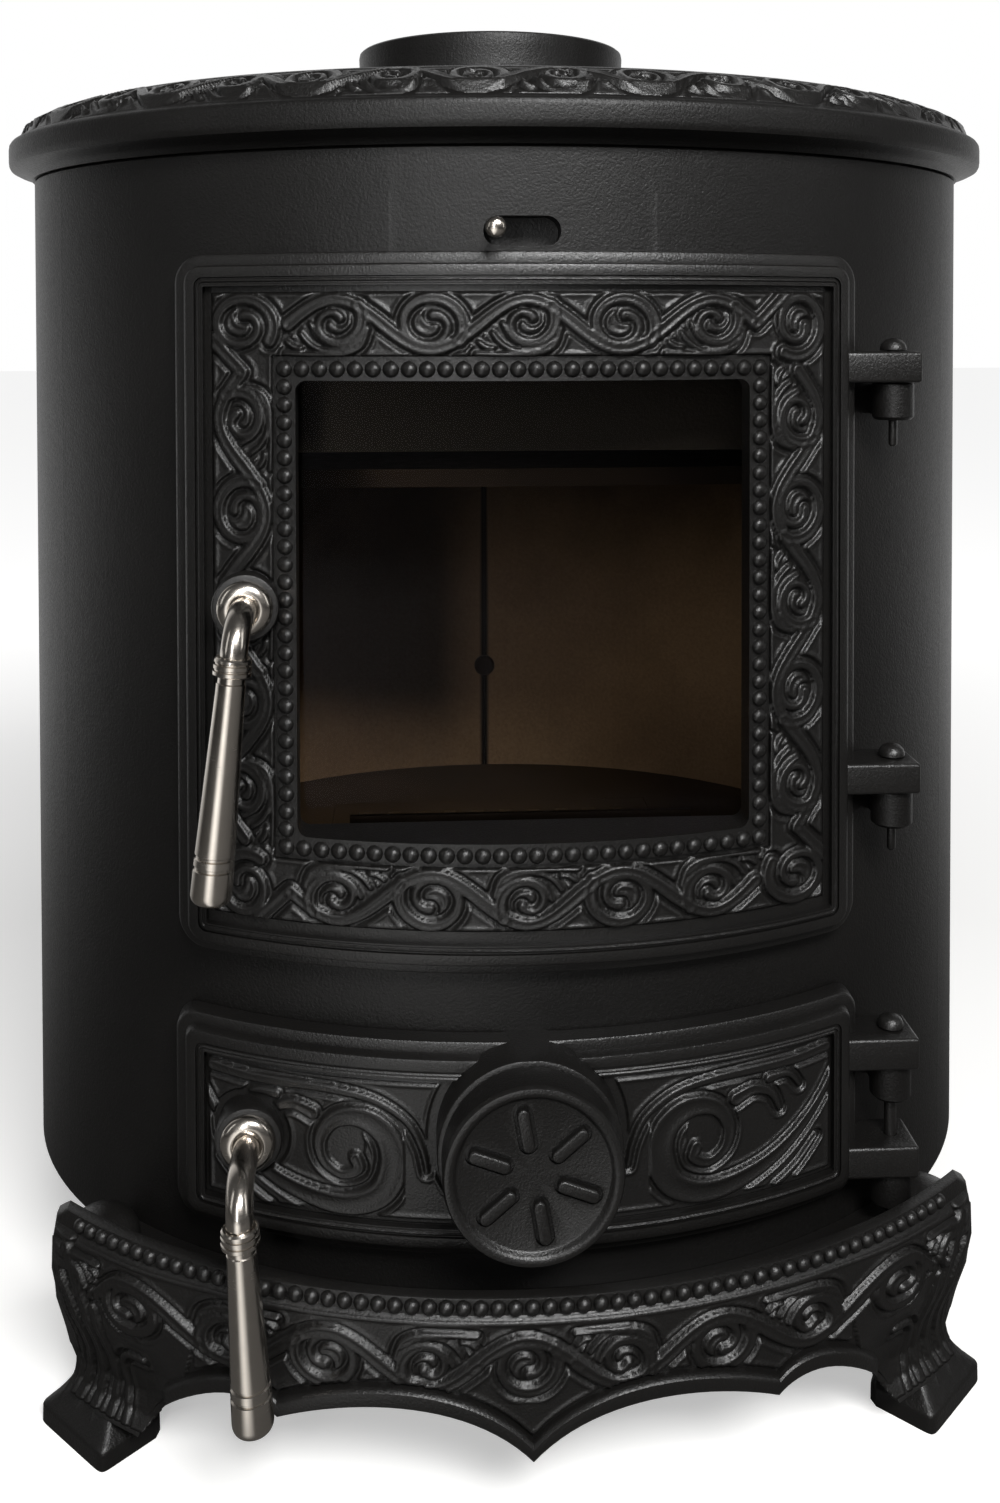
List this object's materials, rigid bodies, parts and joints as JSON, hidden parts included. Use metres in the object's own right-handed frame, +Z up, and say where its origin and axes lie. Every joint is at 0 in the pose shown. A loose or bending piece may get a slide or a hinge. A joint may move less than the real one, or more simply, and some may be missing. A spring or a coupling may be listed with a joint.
{
  "type": "heating stove",
  "caption": "Upright oval cast-iron stove with a framed glass fire door, an ash door with a screw air wheel, a round flue collar and a scalloped skirt on flared feet.",
  "frame": {"origin": "middle of the whole stove's footprint, on the floor", "axes": "+Z up, -Y out of the front (doors), +X towards the hinges"},
  "size_m": [0.4604, 0.4212, 0.577],
  "materials": {
    "cast_iron": "matte black stove finish on sand-cast iron",
    "dark_steel": "blackened steel",
    "satin_steel": "turned satin stainless steel",
    "fire_brick": "dry pressed brick",
    "seal_rope": "knitted mineral fibre rope",
    "stove_glass": "clear heat-proof glass, slightly smoked"
  },
  "bodies": {
    "stove": {"front_shell": "cast_iron", "rear_shell": "cast_iron", "floor_plate": "cast_iron", "top_plate": "cast_iron", "flue_collar": "cast_iron", "flue_bolt_left": "dark_steel", "flue_bolt_right": "dark_steel", "front_skirt": "cast_iron", "rear_leg_left": "cast_iron", "rear_leg_right": "cast_iron", "tie_rod_left": "dark_steel", "tie_rod_right": "dark_steel", "tie_rod_nut_left": "dark_steel", "tie_rod_nut_right": "dark_steel", "hearth_plate": "cast_iron", "grate": "cast_iron", "side_brick_left": "fire_brick", "side_brick_right": "fire_brick", "rear_brick_left": "fire_brick", "rear_brick_right": "fire_brick", "brick_bolt": "dark_steel", "baffle_plate": "fire_brick", "air_wash_lintel": "cast_iron", "fire_fence": "cast_iron", "ash_pan": "dark_steel", "air_slide_rail_lower": "dark_steel", "air_slide_rail_upper": "dark_steel"},
    "fire_door": {"fire_door_frame": "cast_iron", "glass": "stove_glass", "glass_gasket": "seal_rope", "glass_retainer_bottom": "dark_steel", "glass_retainer_top": "dark_steel", "retainer_screw_1": "satin_steel", "retainer_screw_2": "satin_steel", "retainer_screw_3": "satin_steel", "retainer_screw_4": "satin_steel", "fire_door_rope": "seal_rope", "fire_hinge_pin_lower": "dark_steel", "fire_hinge_pin_upper": "dark_steel", "fire_handle_rosette": "satin_steel"},
    "fire_handle": {"fire_handle_rod": "satin_steel", "fire_handle_ferrule": "satin_steel", "fire_handle_grip": "satin_steel", "fire_latch_tongue": "dark_steel", "fire_spindle_nut": "dark_steel"},
    "ash_door": {"ash_door_panel": "cast_iron", "ash_door_rope": "seal_rope", "ash_hinge_pin": "dark_steel", "ash_handle_rosette": "satin_steel", "air_stem": "dark_steel", "air_stem_nut": "dark_steel"},
    "ash_handle": {"ash_handle_rod": "satin_steel", "ash_handle_ferrule": "satin_steel", "ash_handle_grip": "satin_steel", "ash_latch_tongue": "dark_steel", "ash_spindle_nut": "dark_steel"},
    "air_bush": {"air_wheel_bush": "dark_steel"},
    "air_wheel": {"air_wheel": "cast_iron"},
    "air_slide": {"air_slide_plate": "dark_steel", "air_slide_knob": "satin_steel"}
  },
  "joints": [
    {"name": "fire_door_hinge", "type": "hinge", "parent": "stove", "child": "fire_door", "pos_m": [0.1483, -0.1396, 0.33], "axis": [0, 0, 1], "range_deg": [0, 110]},
    {"name": "ash_door_hinge", "type": "hinge", "parent": "stove", "child": "ash_door", "pos_m": [0.1483, -0.1396, 0.12], "axis": [0, 0, 1], "range_deg": [0, 110]},
    {"name": "fire_handle_turn", "type": "hinge", "parent": "fire_door", "child": "fire_handle", "pos_m": [-0.103, -0.1656, 0.33], "axis": [0, 1, 0], "range_deg": [-5.7, 84.3]},
    {"name": "ash_handle_turn", "type": "hinge", "parent": "ash_door", "child": "ash_handle", "pos_m": [-0.103, -0.1656, 0.132], "axis": [0, 1, 0], "range_deg": [0, 93.5]},
    {"name": "air_wheel_travel", "type": "slide", "parent": "ash_door", "child": "air_bush", "axis": [0, -1, 0], "range_m": [0, 0.012]},
    {"name": "air_wheel_turn", "type": "hinge", "parent": "air_bush", "child": "air_wheel", "pos_m": [0, -0.1956, 0.138], "axis": [0, -1, 0], "range_deg": [0, 1081]},
    {"name": "air_slide_travel", "type": "slide", "parent": "stove", "child": "air_slide", "axis": [1, 0, 0], "range_m": [0, 0.0225]}
  ],
  "couplings": [
    {"joint": "air_wheel_turn", "follows": "air_wheel_travel", "rad_per_m": 1570.8}
  ]
}
